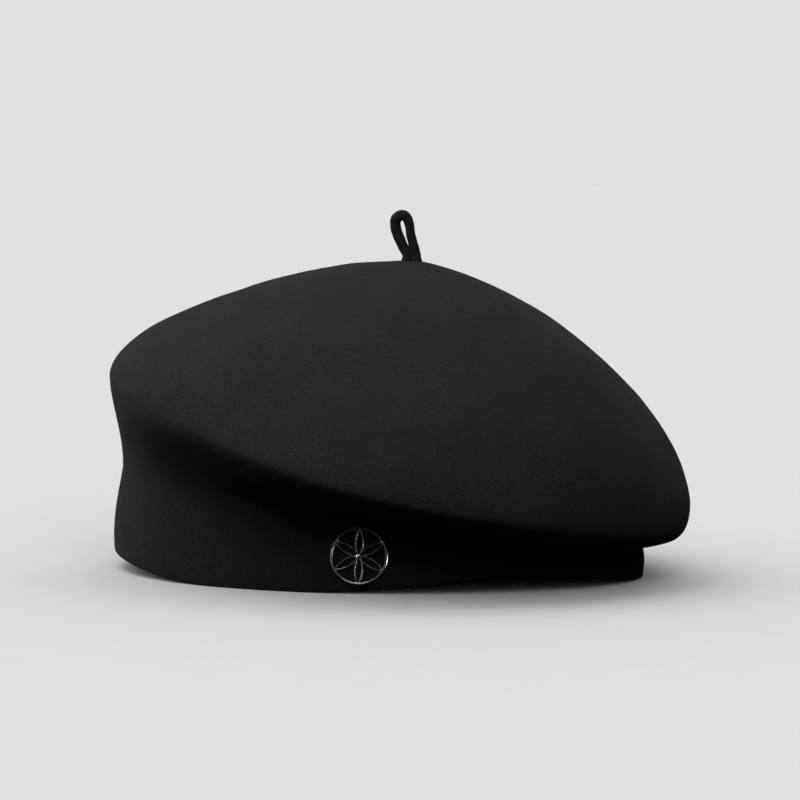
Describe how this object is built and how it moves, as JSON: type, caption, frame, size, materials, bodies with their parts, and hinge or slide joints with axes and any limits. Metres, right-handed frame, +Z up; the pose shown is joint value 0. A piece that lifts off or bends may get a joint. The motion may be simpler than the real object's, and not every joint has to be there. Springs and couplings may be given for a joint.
{
  "type": "beret",
  "caption": "Soft blocked felt beret with a rear overhang, short band, hanging loop, inner ribbed sweatband with a flat bow, blank labels and a round openwork badge.",
  "frame": {"origin": "on the rest plane of the rim, below the middle of the hat's bounding box", "axes": "+Z up, -X to the wearer's front, -Y to the wearer's left"},
  "size_m": [0.2236, 0.232, 0.1391],
  "materials": {
    "felt": "soft brushed wool felt",
    "ribbon": "ribbed ribbon",
    "thread": "twisted thread",
    "label": "woven satin",
    "badge_metal": "dark, with bright polished edges"
  },
  "bodies": {
    "hat": {"felt_body": "felt", "stem_tails": "felt", "stem_patch": "felt", "stem_stitches": "thread", "sweatband": "ribbon", "sweatband_stitches": "thread", "bow_loops": "ribbon", "bow_wrap": "ribbon", "bow_stitches": "thread", "badge": "badge_metal", "badge_washers": "badge_metal", "maker_label": "label", "maker_label_stitches": "thread", "size_patch": "label", "size_patch_stitches": "thread", "care_label_stitches": "thread"},
    "stem": {"stem_loop": "felt"},
    "care_tape": {"care_label": "label"}
  },
  "joints": [
    {"name": "stem_flex", "type": "hinge", "parent": "hat", "child": "stem", "pos_m": [0.0031, 0, 0.1218], "axis": [1, 0, 0], "range_deg": [-60, 60], "stiffness_Nm_per_rad": 0.002},
    {"name": "care_label_flip", "type": "hinge", "parent": "hat", "child": "care_tape", "pos_m": [0.07619, -0.038, 0.02609], "axis": [0.5392, 0.8422, 0], "range_deg": [0, 150]}
  ]
}
